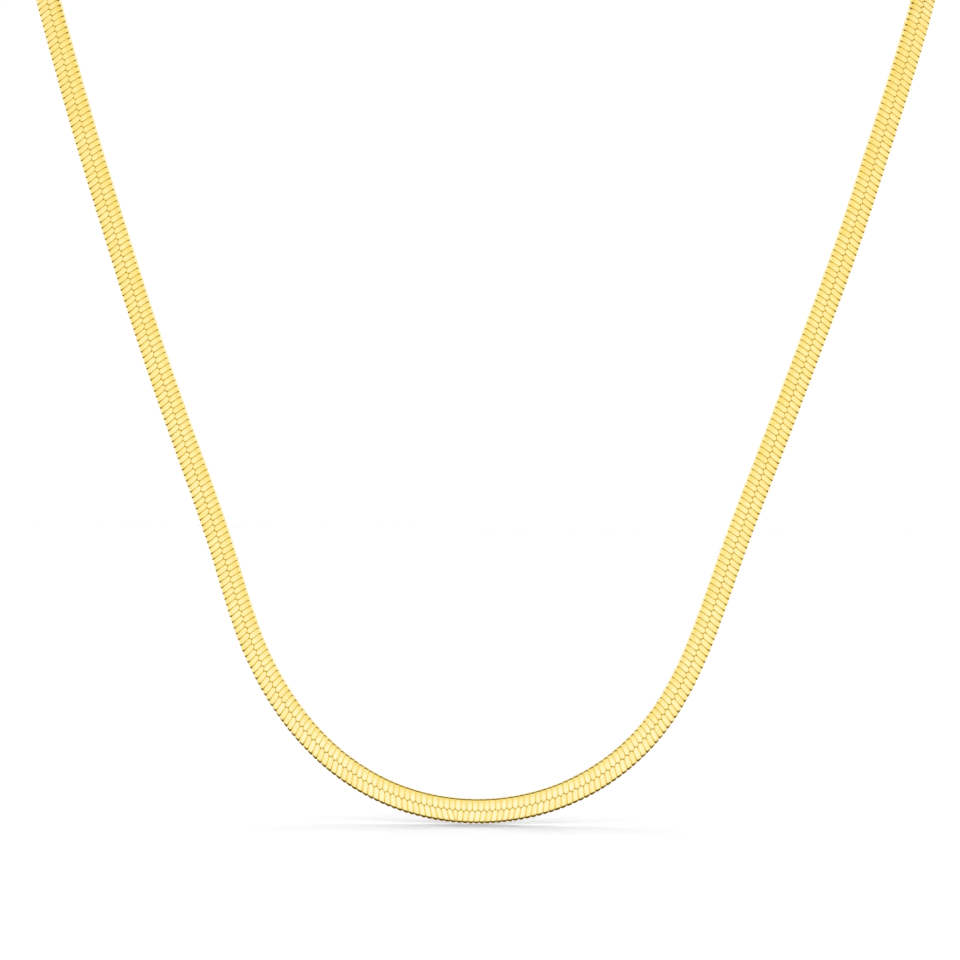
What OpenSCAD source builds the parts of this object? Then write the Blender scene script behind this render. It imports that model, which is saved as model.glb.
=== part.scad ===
// A flat snake chain necklace, closed at the nape and hanging as it is worn.
// Millimetres. +Z is up, -Y is the front and +X is the right side seen from the front.
// The origin is the middle of the closure at the nape.

/* [Chain] */
// Width of the flat chain
chain_w = 3.2; // [2.8:0.1:3.4]
// Thickness of the flat chain
chain_t = 1.0; // [0.8:0.05:1.1]

/* [End caps] */
// Wall of the sleeve round the chain's end
cap_wall = 0.3; // [0.25:0.05:0.4]
// Length of chain inside each sleeve
grip_l = 3.2; // [2.6:0.1:3.2]
// Diameter of the eye on each end cap and of the clasp's tail
eye_d = 2.7; // [2.5:0.1:2.8]
// Hole of each eye
eye_hole_d = 1.5; // [1.4:0.05:1.6]

/* [Jump rings] */
// Outer diameter of a jump ring
ring_d = 4.7; // [4.6:0.05:4.9]
// Diameter of its wire
wire_d = 0.7; // [0.6:0.05:0.75]

/* [Clasp] */
// Width of the claw across its belly
claw_w = 5.0; // [4.6:0.1:5.4]
// Thickness of the claw at its belly
claw_t = 2.0; // [1.6:0.1:2.2]
// Thickness of the wire of the hook that holds the ring
hook_t = 1.2; // [1.0:0.05:1.2]

/* [Hidden] */
$fn = 48;

// The bends of the route, from the lowest point in front up to the nape. The centre line is a cubic
// B-spline led by these points. The left side is the right side's mirror image, apart from its x.
// Columns: x on the right, how far out on the left, y, z, then the way the chain's face looks: its
// turn from the front towards the outside and its lean above the horizon, both in degrees.
ROUTE = [
    [0, 0, -72, -136.5, 0, 6],
    [12.5, 12.5, -71.75, -133.75, 2, 6],
    [22.5, 22.25, -70.75, -126, 4, 6],
    [28, 28.75, -69.5, -115, 6, 7],
    [31.75, 32, -68, -103, 8, 7],
    [36.75, 37, -66.5, -90, 9, 8],
    [41.5, 41.75, -65, -77, 10, 8],
    [46.25, 46, -63.25, -64, 11, 9],
    [50.25, 50.25, -61.5, -51, 13, 10],
    [54, 53.75, -59.75, -39, 15, 12],
    [57, 57, -56.25, -28, 21, 16],
    [58, 58, -49, -19.5, 38, 22],
    [56.75, 56.75, -39, -13.75, 62, 28],
    [52.75, 52.75, -28.5, -10.25, 90, 29],
    [46, 46, -18, -7.25, 116, 27],
    [37.5, 37.5, -9.75, -4.75, 140, 23],
    [29, 29, -4, -2.5, 160, 18],
    [21, 21, -0.3, -0.7, 176, 15],
    [14.5, 14.5, 0, 0, 180, 15],
    [10, 10, 0, 0, 180, 15],
];
// Rings of the tube between two neighbouring points of the route
rings_per_step = 2;
// How far the chain's flat faces stop short of its edges, and the height of its blunt edge
bevel_w = 0.35;
edge_h = 0.4 * chain_t;

// The closure lies along X at the nape, and its outer side leans as the chain's face does there
nape_lean = 15;
chain_end_x = 10;
gap = 0.1;
end_gap = 0.2;
end_wall = 0.6;
cap_corner_r = 0.4;
eye_t = 0.8;
// From an end cap's closed end to the middle of its eye
eye_reach = 1.1;
cap_end_x = chain_end_x - end_gap - end_wall;
cap_eye_x = cap_end_x - eye_reach;
ring_r = (ring_d - wire_d) / 2;
// From a jump ring's middle to the nearest metal of what hangs in it
hold_x = ring_r - wire_d / 2 - 0.23;
ring_x = cap_eye_x - eye_hole_d / 2 - hold_x;
tail_x = -ring_x + hold_x + eye_hole_d / 2;
tail_t = 0.9;
// The end of the claw's opening, where the right jump ring hangs
hook_x = ring_x - hold_x;
belly_x = 0.5;
nose_r = 1.8;
hole_r = 1.0;
nub_r = 0.6;
// How wide the bar between two discs of the claw is, as a share of their width
waist = 0.97;

// Weights of a cubic B-spline's four leading points at t from 0 to 1, and of its direction
function weights(t) = [
    pow(1 - t, 3) / 6,
    (3 * pow(t, 3) - 6 * pow(t, 2) + 4) / 6,
    (-3 * pow(t, 3) + 3 * pow(t, 2) + 3 * t + 1) / 6,
    pow(t, 3) / 6
];
function slopes(t) = [
    -pow(1 - t, 2) / 2,
    (3 * pow(t, 2) - 4 * t) / 2,
    (-3 * pow(t, 2) + 2 * t + 1) / 2,
    pow(t, 2) / 2
];
function on_right(row) = [row[0], row[2], row[3], row[4], row[5]];
function on_left(row) = [-row[1], row[2], row[3], -row[4], row[5]];
function place(row) = [row[0], row[1], row[2]];
function unit(v) = v / norm(v);
// The way a face looks whose turn and lean are given
function facing(turn, lean) = [sin(turn) * cos(lean), -cos(turn) * cos(lean), sin(lean)];

route_last = len(ROUTE) - 1;
left_half = [for (i = [route_last:-1:1]) on_left(ROUTE[i])];
right_half = [for (row = ROUTE) on_right(row)];
loop = concat(left_half, right_half);
loop_last = len(loop) - 1;
// One more point past each end, in line, so that the centre line ends at the end points
guides = concat([2 * loop[0] - loop[1]], loop, [2 * loop[loop_last] - loop[loop_last - 1]]);

function led(i, w) = w[0] * guides[i] + w[1] * guides[i + 1] + w[2] * guides[i + 2] + w[3] * guides[i + 3];
// One ring of the chain's section, across the width b and the face's outward way n
function section(row, direction) =
    let (
        n0 = facing(row[3], row[4]),
        n = unit(n0 - (n0 * direction) * direction),
        b = cross(n, direction),
        half_w = chain_w / 2,
        half_t = chain_t / 2,
        corners = [
            [half_w, edge_h / 2],
            [half_w - bevel_w, half_t],
            [bevel_w - half_w, half_t],
            [-half_w, edge_h / 2],
            [-half_w, -edge_h / 2],
            [bevel_w - half_w, -half_t],
            [half_w - bevel_w, -half_t],
            [half_w, -edge_h / 2]
        ]
    )
    [for (c = corners) place(row) + c[0] * b + c[1] * n];

module chain() {
    steps = loop_last * rings_per_step;
    rings = [
        for (k = [0:steps])
            let (
                i = min(floor(k / rings_per_step), loop_last - 1),
                t = k / rings_per_step - i,
                row = led(i, weights(t)),
                direction = unit(place(led(i, slopes(t))))
            )
            section(row, direction)
    ];
    sides = len(rings[0]);
    points = [for (ring = rings) each ring];
    walls = [
        for (k = [0:steps - 1], j = [0:sides - 1])
            let (a = k * sides, b = a + sides, next = (j + 1) % sides)
            each [[a + j, a + next, b + j], [a + next, b + next, b + j]]
    ];
    first_end = [for (j = [sides - 1:-1:0]) j];
    last_end = [for (j = [0:sides - 1]) steps * sides + j];
    color("gold") polyhedron(points, concat(walls, [first_end], [last_end]), convexity = 10);
}

// Turns what is built flat, with its outer side to +Y, to lie at the nape
module at_nape() {
    rotate([nape_lean, 0, 0]) children();
}

// A bar along X with a rounded rectangle for its section, w high and t thick
module rounded_bar(l, w, t, r) {
    rotate([90, 0, 90]) linear_extrude(l) {
        square([t, w - 2 * r], center = true);
        square([t - 2 * r, w], center = true);
        for (i = [-1, 1], j = [-1, 1]) translate([i * (t / 2 - r), j * (w / 2 - r)]) circle(r);
    }
}

// A flat ring with its hole along Y
module eye(d, hole_d, t) {
    rotate([90, 0, 0]) difference() {
        cylinder(d = d, h = t, center = true);
        cylinder(d = hole_d, h = 2 * t, center = true);
    }
}

// The end cap on the right: a sleeve that is open to +X, and an eye at its closed end
module end_cap() {
    pocket_w = chain_w + 2 * gap;
    pocket_t = chain_t + 2 * gap;
    sleeve_l = grip_l + end_gap + end_wall;
    difference() {
        translate([cap_end_x, 0, 0])
            rounded_bar(sleeve_l, pocket_w + 2 * cap_wall, pocket_t + 2 * cap_wall, cap_corner_r);
        translate([cap_end_x + end_wall, -pocket_t / 2, -pocket_w / 2]) cube([sleeve_l, pocket_t, pocket_w]);
    }
    translate([cap_eye_x, 0, 0]) eye(eye_d, eye_hole_d, eye_t);
}

module end_cap_right() {
    color("gold") at_nape() end_cap();
}

module end_cap_left() {
    color("gold") at_nape() mirror([1, 0, 0]) end_cap();
}

module jump_ring() {
    rotate_extrude() translate([ring_r, 0]) circle(d = wire_d);
}

module jump_ring_left() {
    color("gold") at_nape() translate([-ring_x, 0, 0]) jump_ring();
}

module jump_ring_right() {
    color("gold") at_nape() translate([ring_x, 0, 0]) jump_ring();
}

// Two discs on the X axis and the bar that joins them
module taper(x1, r1, x2, r2) {
    translate([x1, 0]) circle(r1);
    translate([x2, 0]) circle(r2);
    polygon([[x1, -waist * r1], [x2, -waist * r2], [x2, waist * r2], [x1, waist * r1]]);
}

// A plain lobster claw in one piece: a tail eye on the left and a closed hook on the right
module clasp() {
    belly_r = claw_w / 2;
    far = ring_d;
    // Half of the claw's outline seen from above: along X, and out from its middle plane
    side = [
        [tail_x - far, tail_t / 2],
        [tail_x + eye_d / 2, tail_t / 2],
        [belly_x - 1, claw_t / 2],
        [belly_x + 1, claw_t / 2],
        [hook_x - 0.8, hook_t / 2],
        [hook_x + far, hook_t / 2]
    ];
    color("gold") at_nape() intersection() {
        rotate([90, 0, 0]) linear_extrude(2 * claw_t, center = true) difference() {
            union() {
                taper(tail_x, eye_d / 2, belly_x, belly_r * 0.8);
                taper(belly_x, belly_r, hook_x + hook_t - nose_r, nose_r);
                translate([belly_x - belly_r / 2, belly_r * 0.9]) circle(nub_r);
            }
            translate([tail_x, 0]) circle(d = eye_hole_d);
            taper(belly_x + 0.7, hole_r * 1.1, hook_x - hole_r, hole_r);
        }
        translate([0, 0, -claw_w]) linear_extrude(2 * claw_w)
            polygon(concat([for (p = side) [p[0], -p[1]]], [for (i = [len(side) - 1:-1:0]) side[i]]));
    }
}

chain();
end_cap_left();
end_cap_right();
jump_ring_left();
jump_ring_right();
clasp();
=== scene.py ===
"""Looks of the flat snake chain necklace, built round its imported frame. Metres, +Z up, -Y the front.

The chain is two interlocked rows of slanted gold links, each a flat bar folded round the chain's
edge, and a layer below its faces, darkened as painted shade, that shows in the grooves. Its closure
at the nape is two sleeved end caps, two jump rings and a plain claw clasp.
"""

import math

import bmesh
import bpy
import numpy as np
from mathutils import Matrix, Vector


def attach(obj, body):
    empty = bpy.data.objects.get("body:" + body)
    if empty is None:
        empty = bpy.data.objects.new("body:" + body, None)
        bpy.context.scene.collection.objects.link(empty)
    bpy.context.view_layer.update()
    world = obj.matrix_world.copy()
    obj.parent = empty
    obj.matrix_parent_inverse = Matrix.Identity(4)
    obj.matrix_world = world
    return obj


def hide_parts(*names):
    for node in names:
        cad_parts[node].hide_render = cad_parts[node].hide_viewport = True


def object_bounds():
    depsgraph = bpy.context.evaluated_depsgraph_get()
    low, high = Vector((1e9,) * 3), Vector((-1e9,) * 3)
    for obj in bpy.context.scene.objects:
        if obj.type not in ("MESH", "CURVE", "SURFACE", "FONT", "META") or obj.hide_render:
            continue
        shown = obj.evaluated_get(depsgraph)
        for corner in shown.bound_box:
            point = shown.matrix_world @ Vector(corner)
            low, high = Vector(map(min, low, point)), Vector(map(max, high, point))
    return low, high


MM = 0.001
SEED = 11

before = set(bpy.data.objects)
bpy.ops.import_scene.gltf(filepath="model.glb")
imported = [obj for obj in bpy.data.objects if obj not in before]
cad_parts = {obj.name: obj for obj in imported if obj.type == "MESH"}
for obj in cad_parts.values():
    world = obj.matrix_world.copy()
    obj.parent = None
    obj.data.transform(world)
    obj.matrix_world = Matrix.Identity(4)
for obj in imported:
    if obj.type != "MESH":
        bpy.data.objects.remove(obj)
cad_low, cad_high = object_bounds()

# Chain: the route that the part's source leads it by, in metres, from the lowest point in front up
# to the nape. Columns: x on the right, how far out on the left, y, z, then the turn of its face from
# the front towards the outside and the lean of its face above the horizon, in degrees.
ROUTE = [
    (0.0, 0.0, -0.072, -0.1365, 0, 6),
    (0.0125, 0.0125, -0.07175, -0.13375, 2, 6),
    (0.0225, 0.02225, -0.07075, -0.126, 4, 6),
    (0.028, 0.02875, -0.0695, -0.115, 6, 7),
    (0.03175, 0.032, -0.068, -0.103, 8, 7),
    (0.03675, 0.037, -0.0665, -0.09, 9, 8),
    (0.0415, 0.04175, -0.065, -0.077, 10, 8),
    (0.04625, 0.046, -0.06325, -0.064, 11, 9),
    (0.05025, 0.05025, -0.0615, -0.051, 13, 10),
    (0.054, 0.05375, -0.05975, -0.039, 15, 12),
    (0.057, 0.057, -0.05625, -0.028, 21, 16),
    (0.058, 0.058, -0.049, -0.0195, 38, 22),
    (0.05675, 0.05675, -0.039, -0.01375, 62, 28),
    (0.05275, 0.05275, -0.0285, -0.01025, 90, 29),
    (0.046, 0.046, -0.018, -0.00725, 116, 27),
    (0.0375, 0.0375, -0.00975, -0.00475, 140, 23),
    (0.029, 0.029, -0.004, -0.0025, 160, 18),
    (0.021, 0.021, -0.0003, -0.0007, 176, 15),
    (0.0145, 0.0145, 0.0, 0.0, 180, 15),
    (0.01, 0.01, 0.0, 0.0, 180, 15),
]
SAMPLES_PER_STEP = 120
CHAIN_W = 3.2 * MM
CHAIN_T = 1.0 * MM
# How far the rounding of each edge reaches into the faces, and where their flats end
EDGE_REACH = 0.35 * MM
FACE_END = CHAIN_W / 2 - EDGE_REACH

# Links: their pitch along the middle, closed up at the lowest point and open on the left and right arms
BEND_PITCH = 0.72 * MM
ARM_PITCH = (0.752 * MM, 0.763 * MM)
BEND_END = 4 * MM
ARM_START = 12 * MM
PLATE_T = 0.2 * MM
GROOVE = 0.006 * MM
SEAM_GAP = 0.010 * MM
# How far the ends of the two rows reach into each other along the middle of each face
TONGUE = 0.30 * MM
# Outline of such an end: the share of that reach from its tip, and of the link's full width there.
# Its blunt tip and rounded corners leave a small hole wherever three links meet.
TONGUE_OUTLINE = np.array([
    (0.20, 0.05), (0.22, 0.13), (0.28, 0.23), (0.38, 0.37), (0.50, 0.50), (0.66, 0.66),
    (0.80, 0.78), (0.93, 0.86), (1.08, 0.93), (1.28, 0.975), (1.50, 1.0),
])
# How much lower a tip lies than the face
TIP_DIVE = 0.02 * MM
# Where a link's section is repeated on the flat of a face, and by which angle round the edge
FACE_STATIONS = np.array([0.6, 0.95]) * MM
EDGE_STEP = 18
# Radius of a link's long corners, the most of its half width that it takes up, and how much higher
# the link's middle is than its sides on the faces
CORNER_R = 0.028 * MM
CORNER_SHARE = 0.6
FACE_CROWN = 0.007 * MM
# Each row round its edge of the chain: its crown there, how much larger its corners get on the way
# there, and how strong its painted rim shade is at the lowest point and on the arms
OUTER_ROW = (0.13 * MM, 5.5, (0.0, 0.15))
INNER_ROW = (0.05 * MM, 1.5, (0.5, 0.6))
# Where along a link's path its crown and its corners start to grow
EDGE_START = 0.8 * MM
# Where along a link's path the painted shade at the rim sets in and clears again, and where along
# the chain it grows to that of the arms
RIM_SHADE = (0.72 * MM, 1.15 * MM)
RIM_CLEAR = (1.2 * MM, 1.5 * MM)
RIM_RISE = (10 * MM, 40 * MM)
# Share of the painted shade in the grooves at the lowest point and high on the arms, and where it grows
GROOVE_SHADE_SHARES = (0.5, 1.0)
GROOVE_RISE = (0.0, 100 * MM)
# How far the painted shade at a link's tip reaches, and how strong it is
TIP_SHADE_REACH = 0.17 * MM
TIP_PAINTED_SHADE = 1.0
# Slant of each row, as its shift along the chain for each step out, on the left and right arms
OUTER_SLANT = (-0.40, 0.37)
INNER_SLANT = (-0.27, 0.26)
# The slant changes sides just left of the lowest point: slowly in the inner row, and abruptly in the
# outer one, where it starts with this share of its new slant
OUTER_FLIP = (-2.3 * MM, 5.5 * MM)
OUTER_FLIP_SHARE = 0.1
INNER_FLIP = (-7.5 * MM, 7.5 * MM)
# Most by which a link is lifted or sunk, and the usual tilt over its width
LINK_LIFT = 0.006 * MM
LINK_TILT = math.radians(0.7)
# The half width of a link never counts as nothing, also where a wedge between two slants runs out
LEAST_HALF = 1e-9
# The links stop inside the end caps' sleeves
LINK_END_MARGIN = 1.0 * MM
LINK_PIECES = 6
# The links' map: how many stand side by side, and for each, as shares of its own cell, the free
# sides, the room for each of its two ends, and the middle and half size of the end nearer to zero
LINKS_ACROSS_MAP = 22
MAP_SIDE = 0.06
MAP_END_ROOM = 0.08
MAP_END_MIDDLE = np.array([0.5, 0.036])
MAP_END_HALF = np.array([0.35, 0.0288])
# How far below the chain's edges and its faces the deeper layer of the links shows in the grooves
CORE_SIDE_INSET = 0.16 * MM
CORE_FACE_INSET = 0.07 * MM
# Its own rounding, as a share of the chain's, the angles along it, and its stations along the chain
CORE_ROUNDING = 0.6
CORE_TURNS = (0, 30, 60, 90)
CORE_STATIONS = 620

# Closure, as in the part's source: flat along X, its outer side +Y, then leaning at the nape
NAPE_LEAN = math.radians(15)
CAP_END_X = 9.2 * MM
CAP_RIM_X = 13.2 * MM
CAP_EYE_X = 8.1 * MM
CAP_W = 4.0 * MM
CAP_T = 1.8 * MM
CAP_CORNER_R = 0.4 * MM
CAP_LEAST_CORNER_R = 0.1 * MM
CAP_END_ROUNDING = 0.22 * MM
CAP_RIM_ROUNDING = 0.1 * MM
POCKET_W = 3.4 * MM
POCKET_T = 1.2 * MM
POCKET_CORNER_R = 0.12 * MM
POCKET_END_X = 9.8 * MM
EYE_D = 2.7 * MM
EYE_HOLE_D = 1.5 * MM
EYE_T = 0.8 * MM
RING_X = 5.93 * MM
RING_R = 2.0 * MM
WIRE_D = 0.7 * MM
# Where round a jump ring its closed joint lies, and how wide the joint's slit is
JOINT_TURN = math.radians(62)
JOINT_SLIT = math.radians(0.9)
TAIL_X = -3.76 * MM
TAIL_T = 0.9 * MM
CLAW_T = 2.0 * MM
HOOK_T = 1.2 * MM
HOOK_X = 4.51 * MM
BELLY_X = 0.5 * MM
BELLY_R = 2.5 * MM
NOSE_R = 1.8 * MM
HOLE_R = 1.0 * MM
HOLE_BACK_X = 1.2 * MM
HOLE_BACK_R = 1.1 * MM
# The bar between tail and claw: how far past the tail eye's middle, its half width, half thickness
NECK_RINGS = np.array([
    (0.95, 0.95, 0.40),
    (1.3, 1.35, 0.50),
    (2.1, 1.75, 0.72),
    (2.9, 2.05, 0.90),
    (3.6, 2.15, 0.92),
]) * MM
NUB_MIDDLE = np.array([-0.75, 0, 2.25]) * MM
NUB_HALF = np.array([0.6, 0.55, 0.6]) * MM
# How high the nub's last rings lie towards its poles, in degrees
NUB_POLE = 88
# Exponent of the bands' and the bar's sections, which are fuller than an ellipse
FULLNESS = 0.75

# How finely the closure's roundings are divided
CORNER_STEPS = 8
CAP_END_STEPS = 5
CAP_RIM_STEPS = 3
EYE_STEPS = 96
BAND_STEPS = 20
RING_STATIONS = 121
WIRE_STEPS = 24
CLAW_STEPS = 160
CLAW_BAND_STEPS = 28
NECK_STEPS = 40
NUB_STEPS = 32
NUB_RINGS = 16
# Edges sharper than this stay sharp, on soldered pieces and on the jump rings
SHARP_TURN = math.radians(35)
RING_SHARP_TURN = math.radians(50)

# Gold of the links' faces, from the deeper to the paler ones, and the darker gold painted as shade
# between links, at their tips and near their rims
FACE_COLOURS = ((1.0, 0.87, 0.45), (1.0, 0.925, 0.57))
PAINTED_SHADE_COLOUR = (0.95, 0.69, 0.06)
FITTING_COLOURS = ((0.96, 0.78, 0.32), (0.98, 0.85, 0.40))
# The slow drift between two golds, and which of its values stand for the first and the second
DRIFT_NOISE = {"Scale": 260.0, "Detail": 3.0, "Roughness": 0.55}
DRIFT_SPAN = (0.25, 0.75)
# The uneven polish, and the roughness that it goes between
POLISH_NOISE = {"Scale": 2600.0, "Detail": 4.0, "Roughness": 0.6}
POLISH_SPAN = {"To Min": 0.13, "To Max": 0.24}
# Fine rubbed streaks that lie level: their fineness along X, Y and Z, and how they stand out
STREAK_FINENESS = (2500.0, 2500.0, 26000.0)
STREAK_NOISE = {"Scale": 1.0, "Detail": 2.0}
STREAK_BUMP = {"Strength": 0.12, "Distance": 0.000004}
# The dull gold of the deeper layer, darkened as painted shade for the grooves and small holes
CORE_SHADE_COLOURS = ((0.50, 0.27, 0.025), (0.66, 0.38, 0.045))
CORE_NOISE = {"Scale": 1500.0, "Detail": 3.0}
CORE_ROUGHNESS = 0.5

# Camera: level, as far from the lowest point as its width in the photograph says
CAMERA_DISTANCE = 1.0
CAMERA_Z = -94.17 * MM
CAMERA_X = 0.125 * MM
CAMERA_ROLL = math.radians(0.6)
LENS = 300
SENSOR = 36
CLIP_START = 0.05
CLIP_END = 100

# Light tent: the height of the front panel's middle, and its colour by degrees away from there
TENT_STRENGTH = 1.02
PANEL_HEIGHT = 9
PANEL_COLOURS = [
    (0, (1.0, 1.015, 1.08)),
    (5, (1.0, 1.01, 1.04)),
    (10, (1.0, 0.975, 0.86)),
    (17, (1.0, 0.97, 0.75)),
    (22, (1.0, 0.935, 0.66)),
    (29, (1.0, 0.90, 0.56)),
    (45, (1.0, 0.91, 0.62)),
    (66, (1.0, 1.0, 1.0)),
    (100, (1.0, 1.0, 1.0)),
    (125, (1.0, 0.95, 0.75)),
    (160, (1.0, 0.95, 0.75)),
    (165.5, (1.0, 1.0, 1.0)),
]
# Where it darkens, as the x, y or z of a direction of length 1 from which to which: overhead, except
# behind; low down in front, except at the sides; and lower still behind
OVERHEAD_Z = (0.66, 0.76)
OVERHEAD_Y = (0.40, 0.20)
LOW_Z = (-0.36, -0.48)
LOW_X = (0.95, 0.84)
LOW_Y = (0.68, 0.45)
BEHIND_Z = (-0.55, -0.68)
BEHIND_Y = (-0.05, 0.15)
DARK_COLOUR = (0.145, 0.085, 0.01)

# Lamps for the floor: their turns from the back, height and apparent size in degrees, strength of each
SUNS = [
    ((-60, -20, 20, 60), 12, 24, 5.5),
    ((0,), 38, 70, 1.3),
    ((-160, 160), 12, 24, 6.1),
    ((-120, 120), 12, 24, 1.6),
    ((180,), 35, 70, 0.7),
]
FLOOR_COLOUR = (0.36, 0.362, 0.367, 1)
FLOOR_ROUGHNESS = 0.9
FLOOR_SPECULAR = 0.1
FLOOR_HALF = 6.0


# Plain sums


def unit(v):
    return v / np.linalg.norm(v, axis=-1, keepdims=True)


def share_of(x, low, high):
    """A share that goes evenly from 0 where x is low to 1 where it is high."""
    return np.clip((x - low) / (high - low), 0, 1)


def smoothstep(x, low, high):
    t = share_of(x, low, high)
    return t * t * (3 - 2 * t)


def turns_round(count):
    """Even turns once round, in radians."""
    return np.linspace(0, 2 * math.pi, count, endpoint=False)


# Centre line of the chain


def spline_weights(t):
    """Weights of a cubic B-spline's four leading points at t from 0 to 1."""
    return np.stack([(1 - t) ** 3, 3 * t**3 - 6 * t**2 + 4, -3 * t**3 + 3 * t**2 + 3 * t + 1, t**3], -1) / 6


def spline_slopes(t):
    """Weights of the same four points in the spline's direction."""
    return np.stack([-((1 - t) ** 2), 3 * t**2 - 4 * t, -3 * t**2 + 2 * t + 1, t**2], -1) / 2


def facing(turn, lean):
    """The way a face looks whose turn and lean are given in degrees."""
    turn, lean = np.radians(turn), np.radians(lean)
    return np.stack([np.sin(turn) * np.cos(lean), -np.cos(turn) * np.cos(lean), np.sin(lean)], -1)


def centre_line():
    """The route as fine samples: distance from the lowest point, place, across and out directions."""
    rows = np.array(ROUTE, float)
    right = rows[:, [0, 2, 3, 4, 5]]
    left = rows[:0:-1, 1:] * np.array([-1, 1, 1, -1, 1])
    points = np.vstack([left, right])
    guides = np.vstack([2 * points[0] - points[1], points, 2 * points[-1] - points[-2]])
    steps = len(points) - 1
    k = np.arange(steps * SAMPLES_PER_STEP + 1)
    i = np.minimum(k // SAMPLES_PER_STEP, steps - 1)
    t = k / SAMPLES_PER_STEP - i
    four = guides[i[:, None] + np.arange(4)]
    led = np.einsum("kw,kwc->kc", spline_weights(t), four)
    along = unit(np.einsum("kw,kwc->kc", spline_slopes(t), four)[:, :3])
    place = led[:, :3]
    looks = facing(led[:, 3], led[:, 4])
    out = unit(looks - (looks * along).sum(1, keepdims=True) * along)
    across = np.cross(out, along)
    s = np.concatenate([[0], np.cumsum(np.linalg.norm(np.diff(place, axis=0), axis=1))])
    return {"s": s - s[-1] / 2, "place": place, "across": across, "out": out}


LINE = centre_line()
CHAIN_END = LINE["s"][-1]


def on_chain(s, v, n):
    """Points at distance s along the chain, v across it towards its inner edge, and n out of its face."""
    found = {
        key: np.stack([np.interp(s, LINE["s"], LINE[key][:, c]) for c in range(3)], -1)
        for key in ("place", "across", "out")
    }
    return found["place"] + v[..., None] * unit(found["across"]) + n[..., None] * unit(found["out"])


# Meshes


def new_mesh(name, places, faces, smooth=True):
    mesh = bpy.data.meshes.new(name)
    mesh.from_pydata(places.reshape(-1, 3).tolist(), [], faces)
    mesh.validate()
    mesh.polygons.foreach_set("use_smooth", np.full(len(mesh.polygons), smooth))
    return mesh


def add_object(name, mesh, material):
    obj = bpy.data.objects.new(name, mesh)
    bpy.context.scene.collection.objects.link(obj)
    if not obj.data.materials:
        obj.data.materials.append(material)
    return obj


def tube_faces(rings, sides, close_loop=False):
    """Faces of a tube whose points are numbered ring by ring: closed at its ends, or in a loop."""
    faces = []
    last = rings if close_loop else rings - 1
    for i in range(last):
        for j in range(sides):
            k = (j + 1) % sides
            a, b = i * sides, (i + 1) % rings * sides
            faces.append((a + j, a + k, b + k, b + j))
    if not close_loop:
        faces.append(tuple(range(sides - 1, -1, -1)))
        faces.append(tuple((rings - 1) * sides + j for j in range(sides)))
    return faces


# Links of the chain


def link_path():
    """Stations of a link from its tip on the front face, round the edge, to its tip on the back.

    Columns: v out from the middle, n, the outward way in v and n, the length of path from the middle,
    and the share of its full width. v, n and their way are for a row whose edge is towards +v."""
    half_t = CHAIN_T / 2
    tip = SEAM_GAP / 2 - TONGUE / 2
    tongue_v = tip + TONGUE_OUTLINE[:, 0] * TONGUE
    v = np.concatenate([tongue_v, FACE_STATIONS, [FACE_END]])
    width = np.concatenate([TONGUE_OUTLINE[:, 1], np.ones(len(FACE_STATIONS) + 1)])
    front = np.stack([v, np.full(len(v), half_t), 0 * v, 0 * v + 1, v, width], -1)
    bend = np.radians(np.arange(EDGE_STEP, 180, EDGE_STEP))
    edge_v = FACE_END + EDGE_REACH * np.sin(bend)
    edge_n = half_t * np.cos(bend)
    way = unit(np.stack([np.sin(bend) / EDGE_REACH, np.cos(bend) / half_t], -1))
    steps = np.hypot(np.diff(edge_v, prepend=FACE_END), np.diff(edge_n, prepend=half_t))
    from_face = FACE_END + np.cumsum(steps)
    length = np.minimum(from_face, from_face[::-1])
    edge = np.stack([edge_v, edge_n, way[:, 0], way[:, 1], length, np.ones(len(bend))], -1)
    back = front[::-1] * np.array([1, -1, 1, -1, 1, 1])
    return np.vstack([front, edge, back])


def link_section():
    """A link's section over its width: where each point lies, and its depth below the crown.

    Columns: side (-1 to 1), how many corner radii in from the side, how many down, whether it is a
    bottom corner, how much painted shade it gets in the grooves. It runs once round, from one bottom corner
    to the other."""
    half = [(-1, 0, 1, 1, 1), (-1, 0, 1, 0, 0.9), (-1, 0.3, 0.3, 0, 0.8), (-1, 1, 0, 0, 0.5)]
    flat = [(-0.45, 0, 0, 0, 0), (0.45, 0, 0, 0, 0)]
    return np.array(half + flat + [(-point[0], *point[1:]) for point in half[::-1]], float)


LINK_PATH = link_path()
LINK_SECTION = link_section()


def up_the_arms(s, ends, rise):
    """A value that goes from the first of its ends to the second over a stretch of both arms."""
    return ends[0] + (ends[1] - ends[0]) * smoothstep(np.abs(s), *rise)


def link_painted_shades(middles, rim_painted_shades):
    """Painted shade on links at these places: between them, at their tips and towards the rim.

    The rim's painted shade is given for the lowest point and for the arms. Order: link, station, point."""
    v, length = LINK_PATH[:, 0], LINK_PATH[:, 4]
    at_tip = TIP_PAINTED_SHADE * np.clip(1 - (v - v.min()) / TIP_SHADE_REACH, 0, 1)
    rim = smoothstep(length, *RIM_SHADE) * (1 - smoothstep(length, *RIM_CLEAR))
    at_rim = up_the_arms(middles, rim_painted_shades, RIM_RISE)[:, None] * rim
    in_grooves = up_the_arms(middles, GROOVE_SHADE_SHARES, GROOVE_RISE)[:, None, None] * LINK_SECTION[:, 4]
    return np.maximum(np.maximum(at_tip, at_rim)[..., None], in_grooves)


def outer_slant(s):
    """In the outer row the links left of the flip keep their full slant up to it."""
    left, right = OUTER_SLANT
    grown = OUTER_FLIP_SHARE + (1 - OUTER_FLIP_SHARE) * share_of(s, *OUTER_FLIP)
    return np.where(s < OUTER_FLIP[0], left, right * grown)


def inner_slant(s):
    """In the inner row the slant goes evenly from the left arm's to the right arm's."""
    left, right = INNER_SLANT
    return left + (right - left) * share_of(s, *INNER_FLIP)


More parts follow.
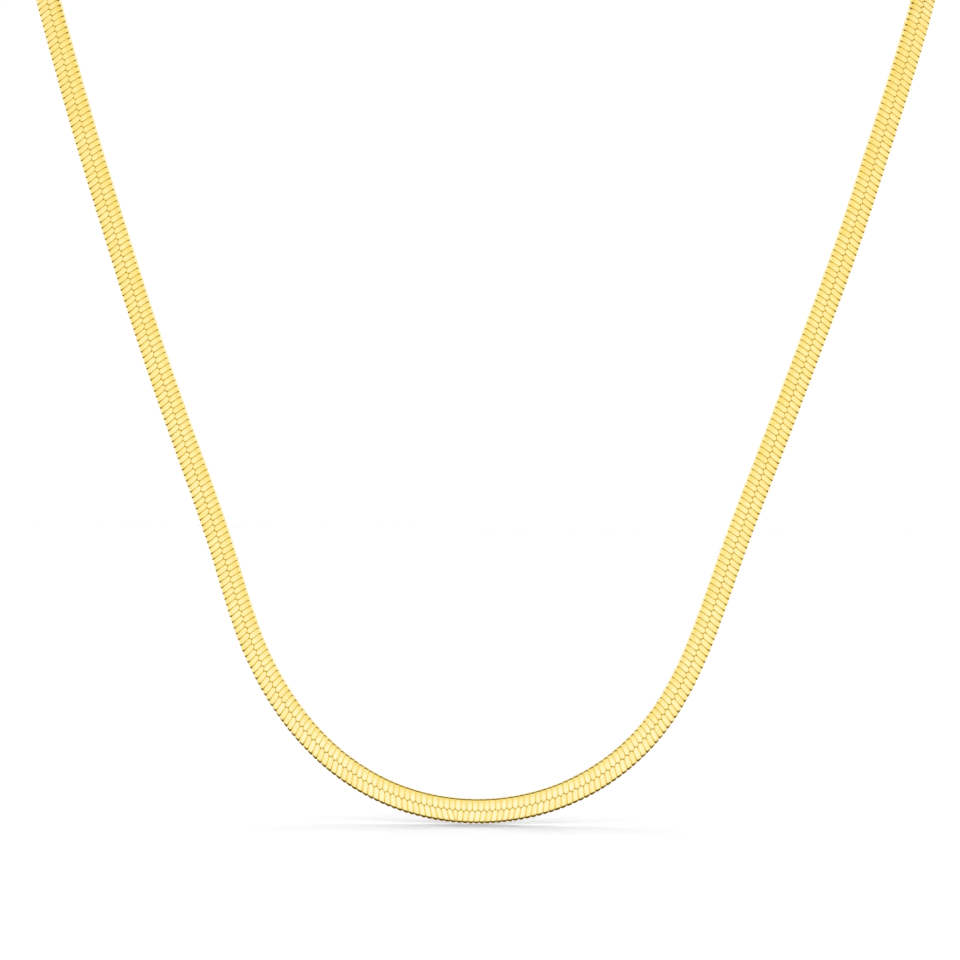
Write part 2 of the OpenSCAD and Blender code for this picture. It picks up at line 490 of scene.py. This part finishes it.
def link_starts():
    """Where the links of the outer row meet along the middle, from one end of the chain to the other."""
    arms = []
    for arm_pitch in ARM_PITCH:
        places = [0.0]
        while places[-1] < CHAIN_END:
            opened = smoothstep(places[-1], BEND_END, ARM_START)
            places.append(places[-1] + BEND_PITCH + (arm_pitch - BEND_PITCH) * opened)
        arms.append(np.array(places))
    left, right = arms
    marks = np.concatenate([-left[:0:-1], right])
    return marks[np.abs(marks) < CHAIN_END - LINK_END_MARGIN]


def slid(length):
    """How far along its slant a link has gone at a length of path: it stops sliding round the edge."""
    past = np.clip(length - FACE_END, 0, None)
    return np.minimum(length, FACE_END) + past - past**2 / (2 * (length.max() - FACE_END))


def make_links(low, high, slants, edge, crown, growth, rng):
    """Vertices of the links between the marks low and high of one row: link, station, point, xyz."""
    path_v, path_n, way_v, way_n, length, width = (column[:, None] for column in LINK_PATH.T)
    side, inwards, down, bottom, _ = LINK_SECTION.T
    shift = edge * slid(length)
    start = low[:, None, None] + slants(low)[:, None, None] * shift
    end = high[:, None, None] + slants(high)[:, None, None] * shift
    middle = (start + end) / 2
    half = ((end - start) - GROOVE) / 2 * width
    near_edge = share_of(length, EDGE_START, length.max())
    corner = np.minimum(CORNER_R * (1 + growth * near_edge), CORNER_SHARE * half)
    # The two inner points of the top lie at a share of the width, and the others count from its side
    is_side = np.abs(side) == 1
    x = np.where(is_side, side * (half - inwards * corner), side * half)
    crown_at = FACE_CROWN + (crown - FACE_CROWN) * near_edge**2
    drop = crown_at * (x / (half + LEAST_HALF)) ** 2 + down * corner
    below = np.where(bottom == 1, PLATE_T, drop)
    dive = TIP_DIVE * np.clip(1 - (path_v + TONGUE / 2) / TONGUE, 0, 1) ** 2
    lift = rng.uniform(-LINK_LIFT, LINK_LIFT, len(low))
    tilt = np.tan(rng.normal(0, LINK_TILT, len(low)))
    out = lift[:, None, None] + tilt[:, None, None] * x - below - dive
    return on_chain(middle + x, edge * (path_v + way_v * out), path_n + way_n * out)


def link_loops(stations, points):
    """Quads of one link, the place of each corner on its own map, and the two ends."""
    quads, places = [], []
    for i in range(stations - 1):
        for j in range(points):
            k = (j + 1) % points
            quads.append((i * points + j, i * points + k, (i + 1) * points + k, (i + 1) * points + j))
            places.append([(i, j), (i, j + 1), (i + 1, j + 1), (i + 1, j)])
    first_end = list(range(points - 1, -1, -1))
    last_end = [(stations - 1) * points + j for j in range(points)]
    return np.array(quads), np.array(places, float), first_end, last_end


def link_map(corners, count):
    """Map places of all face corners of a piece's links, which stand side by side in rows.

    The corners of one link's quads come as station and point, and its two ends follow them."""
    stations, points = len(LINK_PATH), len(LINK_SECTION)
    steps = np.linalg.norm(np.diff(LINK_PATH[:, :2], axis=0), axis=1)
    length = np.concatenate([[0], np.cumsum(steps)])
    along = MAP_END_ROOM + (1 - 2 * MAP_END_ROOM) * length / length[-1]
    up = np.interp(corners[..., 0], np.arange(stations), along)
    side = MAP_SIDE + (1 - 2 * MAP_SIDE) * corners[..., 1] / points
    body = np.stack([side, up], -1).reshape(-1, 2)
    angle = turns_round(points)
    end = MAP_END_MIDDLE + MAP_END_HALF * np.stack([np.cos(angle), np.sin(angle)], -1)
    cell = np.vstack([body, end, [0, 1] + end * [1, -1]])
    k = np.arange(count)
    first = np.stack([k % LINKS_ACROSS_MAP, k // LINKS_ACROSS_MAP], -1)
    return (first[:, None] + cell) / [LINKS_ACROSS_MAP, math.ceil(count / LINKS_ACROSS_MAP)]


def links_mesh(name, places, faces_out, tints, painted_shades):
    """One mesh of links whose vertices are places, with a map, a tint each and a painted shade at each
    vertex.
    """
    count, stations, points = places.shape[:3]
    quads, corners, first_end, last_end = link_loops(stations, points)
    if not faces_out:
        quads, corners = quads[:, ::-1], corners[:, ::-1]
        first_end, last_end = first_end[::-1], last_end[::-1]
    loops = np.concatenate([quads.ravel(), first_end, last_end])
    starts = np.concatenate([[0], np.cumsum([4] * len(quads) + [points])])
    base = np.arange(count)[:, None]
    mesh = bpy.data.meshes.new(name)
    mesh.vertices.add(count * stations * points)
    mesh.vertices.foreach_set("co", places.astype(np.float32).ravel())
    mesh.loops.add(count * len(loops))
    mesh.loops.foreach_set("vertex_index", (loops + base * stations * points).astype(np.int32).ravel())
    mesh.polygons.add(count * len(starts))
    mesh.polygons.foreach_set("loop_start", (starts + base * len(loops)).astype(np.int32).ravel())
    # A link's underside and ends are flat, and its rounded top is smooth
    under = corners[:, :, 1].min(1) == points - 1
    smooth = np.concatenate([~under, [False, False]])
    mesh.polygons.foreach_set("use_smooth", np.tile(smooth, count))
    mesh.update(calc_edges=True)
    layer = mesh.uv_layers.new(name="OFBake")
    layer.data.foreach_set("uv", link_map(corners, count).astype(np.float32).ravel())
    for kind, values in (("tint", np.repeat(tints, stations * points)), ("painted_shade", painted_shades.ravel())):
        attribute = mesh.attributes.new(kind, "FLOAT", "POINT")
        attribute.data.foreach_set("value", values.astype(np.float32))
    return mesh


def joined(name, meshes):
    """One object from several meshes, by Blender's own join, so that their maps and values stay."""
    parts = [bpy.data.objects.new(f"{name}_{i}", mesh) for i, mesh in enumerate(meshes)]
    for part in parts:
        bpy.context.scene.collection.objects.link(part)
    with bpy.context.temp_override(active_object=parts[0], selected_editable_objects=parts):
        bpy.ops.object.join()
    parts[0].name = name
    parts[0].data.name = name
    return parts[0]


def build_links(material):
    """Both rows of links, in a few pieces along the chain."""
    rng = np.random.default_rng(SEED)
    starts = link_starts()
    halves = (starts[:-1] + starts[1:]) / 2
    rows = [
        {"marks": starts, "edge": -1, "slants": outer_slant, "looks": OUTER_ROW},
        {"marks": halves, "edge": 1, "slants": inner_slant, "looks": INNER_ROW},
    ]
    cuts = np.linspace(-CHAIN_END, CHAIN_END, LINK_PIECES + 1)
    pieces = []
    for p in range(LINK_PIECES):
        meshes = []
        for row in rows:
            low, high = row["marks"][:-1], row["marks"][1:]
            middles = (low + high) / 2
            here = (middles >= cuts[p]) & (middles < cuts[p + 1])
            crown, growth, rim_painted_shades = row["looks"]
            places = make_links(low[here], high[here], row["slants"], row["edge"], crown, growth, rng)
            tints = rng.uniform(0, 1, len(places))
            painted_shades = link_painted_shades(middles[here], rim_painted_shades)
            meshes.append(links_mesh(f"row_{p}", places, row["edge"] > 0, tints, painted_shades))
        piece = joined(f"chain_links_{p + 1}", meshes)
        piece.data.materials.append(material)
        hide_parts("chain")
        pieces.append(piece)
    return pieces


def build_core(material):
    """The deeper layer of the links, which shows only at the bottom of the grooves and small holes."""
    half_w, half_t = CHAIN_W / 2 - CORE_SIDE_INSET, CHAIN_T / 2 - CORE_FACE_INSET
    reach = EDGE_REACH * CORE_ROUNDING
    turns = np.radians(CORE_TURNS)
    corner = np.stack([half_w - reach + reach * np.sin(turns), half_t * np.cos(turns)], -1)
    right = np.vstack([corner, corner[-2::-1] * [1, -1]])
    ring = np.vstack([right, -right])
    s, v = np.meshgrid(np.linspace(-CHAIN_END, CHAIN_END, CORE_STATIONS), ring[:, 0], indexing="ij")
    places = on_chain(s, v, np.broadcast_to(ring[:, 1], s.shape))
    mesh = new_mesh("chain_core", places, tube_faces(CORE_STATIONS, len(ring)))
    core = add_object("chain_core", mesh, material)
    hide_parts("chain")
    return core


# Closure at the nape


def at_nape(places, mirrored=False):
    """Turns what is built flat, with its outer side to +Y, to lie at the nape."""
    if mirrored:
        places = places * np.array([-1, 1, 1])
    c, s = math.cos(NAPE_LEAN), math.sin(NAPE_LEAN)
    turn = np.array([[1, 0, 0], [0, c, -s], [0, s, c]])
    return places @ turn.T


def rounded_rectangle(half_t, half_w, r):
    """Points of a rounded rectangle in Y and Z, once round."""
    turns = np.radians(np.linspace(0, 90, CORNER_STEPS + 1))
    points = []
    for quarter, (sy, sz) in enumerate([(1, 1), (-1, 1), (-1, -1), (1, -1)]):
        a = turns + quarter * math.pi / 2
        y, z = sy * (half_t - r) + r * np.cos(a), sz * (half_w - r) + r * np.sin(a)
        points.append(np.stack([y, z], -1))
    return np.vstack(points)


def rounding(r, steps):
    """How far in from an end, and in from the side, points lie round their corner of this radius."""
    turns = np.radians(np.linspace(0, 90, steps + 1))
    return [(r * (1 - math.sin(a)), r * (1 - math.cos(a))) for a in turns]


def sleeve():
    """The end cap's sleeve as rings along X: up its outside, round the open rim and down its pocket."""
    end = [(CAP_END_X + along, inset) for along, inset in rounding(CAP_END_ROUNDING, CAP_END_STEPS)]
    rim = [(CAP_RIM_X - along, inset) for along, inset in rounding(CAP_RIM_ROUNDING, CAP_RIM_STEPS)]
    outside = [*end[::-1], *rim]
    pocket = [*rim[-2::-1], (POCKET_END_X, 0)]
    rings = []
    for x, inset in outside:
        r = max(CAP_CORNER_R - inset, CAP_LEAST_CORNER_R)
        rings.append((x, rounded_rectangle(CAP_T / 2 - inset, CAP_W / 2 - inset, r)))
    for x, inset in pocket:
        r = POCKET_CORNER_R + inset
        rings.append((x, rounded_rectangle(POCKET_T / 2 + inset, POCKET_W / 2 + inset, r)))
    places = np.stack([np.column_stack([np.full(len(ring), x), ring]) for x, ring in rings])
    return places, tube_faces(len(rings), places.shape[1])


def full_section(steps):
    """How far out and how far up the points of a section lie that is fuller than a circle."""
    turns = turns_round(steps)
    c, s = np.cos(turns), np.sin(turns)
    return np.sign(c) * np.abs(c) ** FULLNESS, np.sign(s) * np.abs(s) ** FULLNESS


def band(inner, outer, half_t, steps=BAND_STEPS):
    """A closed band between two loops in X and Z, with a rounded section. Its thickness is along Y."""
    reach, height = full_section(steps)
    middle, half = (inner + outer) / 2, (outer - inner) / 2
    xz = middle[:, None] + half[:, None] * reach[:, None]
    y = np.broadcast_to(half_t[:, None] * height, xz.shape[:2])
    places = np.stack([xz[..., 0], y, xz[..., 1]], -1)
    return places, tube_faces(len(inner), steps, close_loop=True)


def eye(x, t):
    """A flat ring round a point of the X axis, for a jump ring to pass through."""
    a = turns_round(EYE_STEPS)
    inner, outer = (np.stack([x + d / 2 * np.cos(a), d / 2 * np.sin(a)], -1) for d in (EYE_HOLE_D, EYE_D))
    return band(inner, outer, np.full(EYE_STEPS, t / 2))


def outward(mesh):
    """Turns a closed mesh's faces outwards."""
    bm = bmesh.new()
    bm.from_mesh(mesh)
    bmesh.ops.recalc_face_normals(bm, faces=bm.faces)
    bm.to_mesh(mesh)
    bm.free()


def united(name, solids, material, mirrored=False):
    """One closed mesh from several overlapping ones, which are soldered on the real object."""
    made = []
    for i, (places, faces) in enumerate(solids):
        mesh = new_mesh(f"{name}_{i}", at_nape(places.reshape(-1, 3), mirrored), faces)
        made.append(add_object(f"{name}_{i}", mesh, material))
        outward(made[-1].data)
    first = made[0]
    for other in made[1:]:
        modifier = first.modifiers.new("union", "BOOLEAN")
        modifier.operation = "UNION"
        modifier.solver = "EXACT"
        modifier.object = other
    bpy.context.view_layer.update()
    ready = first.evaluated_get(bpy.context.evaluated_depsgraph_get())
    mesh = bpy.data.meshes.new_from_object(ready)
    for old in made:
        bpy.data.objects.remove(old)
    mesh.name = name
    mesh.polygons.foreach_set("use_smooth", np.full(len(mesh.polygons), True))
    mesh.set_sharp_from_angle(angle=SHARP_TURN)
    return add_object(name, mesh, material)


def build_end_caps(material):
    caps = []
    for side in ("left", "right"):
        name = f"end_cap_{side}"
        cap = united(f"{name}_finished", [sleeve(), eye(CAP_EYE_X, EYE_T)], material, side == "left")
        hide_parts(name)
        caps.append(cap)
    return caps


def build_jump_rings(material):
    """Each ring is bent from wire, with the fine slit of its closed joint."""
    rings = []
    around = JOINT_TURN + np.linspace(JOINT_SLIT / 2, 2 * math.pi - JOINT_SLIT / 2, RING_STATIONS)
    section = turns_round(WIRE_STEPS)
    for side, sign in (("left", -1), ("right", 1)):
        r = RING_R + WIRE_D / 2 * np.cos(section)
        x = sign * RING_X + r * np.cos(around)[:, None]
        y = r * np.sin(around)[:, None]
        z = np.broadcast_to(WIRE_D / 2 * np.sin(section), x.shape)
        places = at_nape(np.stack([x, y, z], -1).reshape(-1, 3))
        mesh = new_mesh(f"jump_ring_{side}_finished", places, tube_faces(len(around), len(section)))
        outward(mesh)
        mesh.set_sharp_from_angle(angle=RING_SHARP_TURN)
        ring = add_object(f"jump_ring_{side}_finished", mesh, material)
        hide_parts(f"jump_ring_{side}")
        rings.append(ring)
    return rings


def taper_outline(x1, r1, x2, r2):
    """The outline round two circles on the X axis and their common tangents, once round by angle."""
    lean = math.acos((r1 - r2) / (x2 - x1))
    front = np.linspace(-lean, lean, CLAW_STEPS // 2, endpoint=False)
    back = np.linspace(lean, 2 * math.pi - lean, CLAW_STEPS // 2, endpoint=False)
    nose = np.stack([x2 + r2 * np.cos(front), r2 * np.sin(front)], -1)
    tail = np.stack([x1 + r1 * np.cos(back), r1 * np.sin(back)], -1)
    return np.vstack([nose, tail])


def claw():
    """The rounded band round the claw's opening, thinner towards its hook."""
    far_x = HOOK_X + HOOK_T - NOSE_R
    outer = taper_outline(BELLY_X, BELLY_R, far_x, NOSE_R)
    hole = taper_outline(HOLE_BACK_X, HOLE_BACK_R, HOOK_X - HOLE_R, HOLE_R)
    places_x = [BELLY_X - BELLY_R, BELLY_X, far_x + NOSE_R]
    thick = np.interp(outer[:, 0], places_x, [CLAW_T, CLAW_T, HOOK_T])
    return band(hole, outer, thick / 2, CLAW_BAND_STEPS)


def neck():
    """The solid bar that runs from the tail's eye into the claw."""
    sideways, upwards = full_section(NECK_STEPS)
    rings = []
    for past_tail, half_w, half_t in NECK_RINGS:
        x = np.full(NECK_STEPS, TAIL_X + past_tail)
        rings.append(np.stack([x, half_t * sideways, half_w * upwards], -1))
    return np.stack(rings), tube_faces(len(rings), NECK_STEPS)


def nub():
    """The thumb nub, as level rings that shrink towards its two poles."""
    a = turns_round(NUB_STEPS)
    rings = []
    for e in np.radians(np.linspace(-NUB_POLE, NUB_POLE, NUB_RINGS)):
        rings.append(np.stack([np.cos(e) * np.cos(a), np.cos(e) * np.sin(a), np.full(len(a), np.sin(e))], -1))
    return np.stack(rings) * NUB_HALF + NUB_MIDDLE, tube_faces(NUB_RINGS, NUB_STEPS)


def build_clasp(material):
    """A plain lobster claw: the band round its opening, its tail's eye, the bar between and the nub."""
    return united("clasp_finished", [claw(), eye(TAIL_X, TAIL_T), neck(), nub()], material)


# Nodes that materials and the light tent share


def node(nodes, kind, values=None, **settings):
    """A new node of a kind, with values of its sockets by name and settings of its own."""
    made = nodes.new(kind)
    for key, value in settings.items():
        setattr(made, key, value)
    for socket, value in (values or {}).items():
        made.inputs[socket].default_value = value
    return made


def noise(nodes, links, where, values):
    """A share that varies from place to place."""
    made = node(nodes, "ShaderNodeTexNoise", values)
    links.new(where, made.inputs["Vector"])
    return made.outputs["Fac"]


def colour_ramp(nodes, links, share, stops):
    """A colour by a share, from stops that are a position and a colour."""
    ramp = node(nodes, "ShaderNodeValToRGB")
    elements = ramp.color_ramp.elements
    while len(elements) < len(stops):
        elements.new(0.5)
    for element, (position, colour) in zip(elements, stops):
        element.position = position
        element.color = (*colour, 1)
    links.new(share, ramp.inputs["Fac"])
    return ramp.outputs["Color"]


def eased(nodes, links, value, start, end):
    """A share that goes smoothly from 0 where the value is start to 1 where it is end."""
    limits = {"From Min": min(start, end), "From Max": max(start, end)}
    if start > end:
        limits.update({"To Min": 1.0, "To Max": 0.0})
    share = node(nodes, "ShaderNodeMapRange", limits, interpolation_type="SMOOTHSTEP")
    links.new(value, share.inputs["Value"])
    return share.outputs["Result"]


def sum_of(nodes, links, operation, one, other):
    """One of the plain sums of two values, of which the second may be a number."""
    made = node(nodes, "ShaderNodeMath", operation=operation)
    links.new(one, made.inputs[0])
    if isinstance(other, float):
        made.inputs[1].default_value = other
    else:
        links.new(other, made.inputs[1])
    return made.outputs[0]


def where_both(nodes, links, one, other):
    """A share that is full only where two values are both past their limits."""
    shares = [eased(nodes, links, value, *limits) for value, limits in (one, other)]
    return sum_of(nodes, links, "MULTIPLY", *shares)


def mix(nodes, links, share, first, second):
    """The first colour, gone over by a share to the second, which is a plain colour."""
    made = node(nodes, "ShaderNodeMix", data_type="RGBA")
    by_name = {socket.identifier: socket for socket in made.inputs}
    links.new(share, by_name["Factor_Float"])
    links.new(first, by_name["A_Color"])
    by_name["B_Color"].default_value = (*second, 1)
    return next(socket for socket in made.outputs if socket.identifier == "Result_Color")


# Materials


def new_material(name):
    material = bpy.data.materials.new(name)
    material.use_nodes = True
    nodes, links = material.node_tree.nodes, material.node_tree.links
    return material, nodes, links, nodes["Principled BSDF"]


def gold_material(name, colours, tinted):
    """Polished gold plate: a slow drift of its colour, fine rubbed streaks and a soft uneven polish.

    On the links, each one's tint has half a say in that drift, and the painted shade at each vertex turns it
    to a darker gold in the grooves, at the tips and near the rims."""
    material, nodes, links, shader = new_material(name)
    shader.inputs["Metallic"].default_value = 1.0
    where = node(nodes, "ShaderNodeTexCoord").outputs["Object"]
    share = noise(nodes, links, where, DRIFT_NOISE)
    if tinted:
        tint = node(nodes, "ShaderNodeAttribute", attribute_name="tint").outputs["Fac"]
        share = sum_of(nodes, links, "MULTIPLY", sum_of(nodes, links, "ADD", tint, share), 0.5)
    colour = colour_ramp(nodes, links, share, list(zip(DRIFT_SPAN, colours)))
    if tinted:
        # Painted shade: darker gold in the grooves, at the links' tips and near their rims, from a value at
        # each vertex
        painted_shade = node(nodes, "ShaderNodeAttribute", attribute_name="painted_shade").outputs["Fac"]
        colour = mix(nodes, links, painted_shade, colour, PAINTED_SHADE_COLOUR)
    links.new(colour, shader.inputs["Base Color"])
    rough = node(nodes, "ShaderNodeMapRange", POLISH_SPAN)
    links.new(noise(nodes, links, where, POLISH_NOISE), rough.inputs["Value"])
    links.new(rough.outputs["Result"], shader.inputs["Roughness"])
    stretch = node(nodes, "ShaderNodeMapping", {"Scale": STREAK_FINENESS})
    links.new(where, stretch.inputs["Vector"])
    bump = node(nodes, "ShaderNodeBump", STREAK_BUMP)
    links.new(noise(nodes, links, stretch.outputs["Vector"], STREAK_NOISE), bump.inputs["Height"])
    links.new(bump.outputs["Normal"], shader.inputs["Normal"])
    return material


def core_material():
    """The unpolished gold of the deeper layer, dull and warm, and darkened as painted shade where it shows
    between the links.
    """
    material, nodes, links, shader = new_material("dull_gold_painted_shade")
    shader.inputs["Metallic"].default_value = 1.0
    shader.inputs["Roughness"].default_value = CORE_ROUGHNESS
    where = node(nodes, "ShaderNodeTexCoord").outputs["Object"]
    share = noise(nodes, links, where, CORE_NOISE)
    colour = colour_ramp(nodes, links, share, list(zip((0, 1), CORE_SHADE_COLOURS)))
    links.new(colour, shader.inputs["Base Color"])
    return material


def floor_material():
    """Plain and matt, of a grey that the lamps light to white."""
    material, *_, shader = new_material("white_floor")
    shader.inputs["Roughness"].default_value = FLOOR_ROUGHNESS
    shader.inputs["Specular IOR Level"].default_value = FLOOR_SPECULAR
    shader.inputs["Base Color"].default_value = FLOOR_COLOUR
    return material


# Studio


def build_camera():
    data = bpy.data.cameras.new("camera")
    data.lens = LENS
    data.sensor_width = SENSOR
    data.clip_start = CLIP_START
    data.clip_end = CLIP_END
    camera = bpy.data.objects.new("camera", data)
    bpy.context.scene.collection.objects.link(camera)
    place = Matrix.Translation((CAMERA_X, ROUTE[0][2] - CAMERA_DISTANCE, CAMERA_Z))
    level = Matrix.Rotation(math.pi / 2, 4, "X")
    camera.matrix_world = place @ level @ Matrix.Rotation(CAMERA_ROLL, 4, "Z")
    bpy.context.scene.camera = camera


def build_floor():
    corners = [(-1, -1), (1, -1), (1, 1), (-1, 1)]
    places = np.array([(x * FLOOR_HALF, y * FLOOR_HALF, cad_low.z) for x, y in corners])
    mesh = new_mesh("floor", places, [(0, 1, 2, 3)], smooth=False)
    floor = add_object("floor", mesh, floor_material())
    floor.visible_glossy = False


def build_world():
    """A light tent by direction: bright in front, warmer to its sides, dark overhead and low down."""
    world = bpy.data.worlds.new("tent")
    bpy.context.scene.world = world
    world.use_nodes = True
    # The tent shows in the metal and behind it, and the lamps alone light the matt floor
    world.cycles_visibility.diffuse = False
    nodes, links = world.node_tree.nodes, world.node_tree.links
    where = node(nodes, "ShaderNodeTexCoord").outputs["Generated"]
    parts = node(nodes, "ShaderNodeSeparateXYZ")
    links.new(where, parts.inputs["Vector"])
    y, z = parts.outputs["Y"], parts.outputs["Z"]
    sideways = sum_of(nodes, links, "ABSOLUTE", parts.outputs["X"], 0.0)

    height = math.radians(PANEL_HEIGHT)
    panel = node(nodes, "ShaderNodeVectorMath", operation="DOT_PRODUCT")
    panel.inputs[1].default_value = (0, -math.cos(height), math.sin(height))
    links.new(where, panel.inputs[0])
    angle = sum_of(nodes, links, "ARCCOSINE", panel.outputs["Value"], 0.0)
    half_turns = sum_of(nodes, links, "MULTIPLY", angle, 1 / math.pi)
    stops = [(degrees / 180, colour) for degrees, colour in PANEL_COLOURS]
    bright = colour_ramp(nodes, links, half_turns, stops)

    overhead = where_both(nodes, links, (z, OVERHEAD_Z), (y, OVERHEAD_Y))
    low = where_both(nodes, links, (z, LOW_Z), (sideways, LOW_X))
    low = sum_of(nodes, links, "MULTIPLY", low, eased(nodes, links, y, *LOW_Y))
    behind = where_both(nodes, links, (z, BEHIND_Z), (y, BEHIND_Y))
    dark = sum_of(nodes, links, "MAXIMUM", overhead, sum_of(nodes, links, "MAXIMUM", low, behind))
    background = nodes["Background"]
    links.new(mix(nodes, links, dark, bright, DARK_COLOUR), background.inputs["Color"])
    background.inputs["Strength"].default_value = TENT_STRENGTH


def build_suns():
    """Soft lamps all round that light only the floor, for the shadow under the lowest links."""
    for turns, height, size, strength in SUNS:
        for turn in turns:
            build_sun(f"sun_{turn}_{height}", math.radians(turn), math.radians(height), size, strength)


def build_sun(name, turn, height, size, strength):
    data = bpy.data.lights.new(name, "SUN")
    data.angle = math.radians(size)
    data.energy = strength
    sun = bpy.data.objects.new(name, data)
    bpy.context.scene.collection.objects.link(sun)
    level = math.cos(height)
    towards = Vector((math.sin(turn) * level, math.cos(turn) * level, math.sin(height)))
    sun.rotation_mode = "QUATERNION"
    sun.rotation_quaternion = towards.to_track_quat("Z", "Y")
    sun.visible_glossy = False


def set_view():
    view = bpy.context.scene.view_settings
    view.view_transform = "Standard"
    view.look = "None"


build_camera()
set_view()
chain_gold = gold_material("chain_gold", FACE_COLOURS, True)
fitting_gold = gold_material("fitting_gold", FITTING_COLOURS, False)
for piece in [*build_links(chain_gold), build_core(core_material())]:
    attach(piece, "root")
closure = [*build_end_caps(fitting_gold), *build_jump_rings(fitting_gold)]
clasp = build_clasp(fitting_gold)
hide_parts("clasp")
for piece in [*closure, clasp]:
    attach(piece, "root")
build_floor()
build_world()
build_suns()
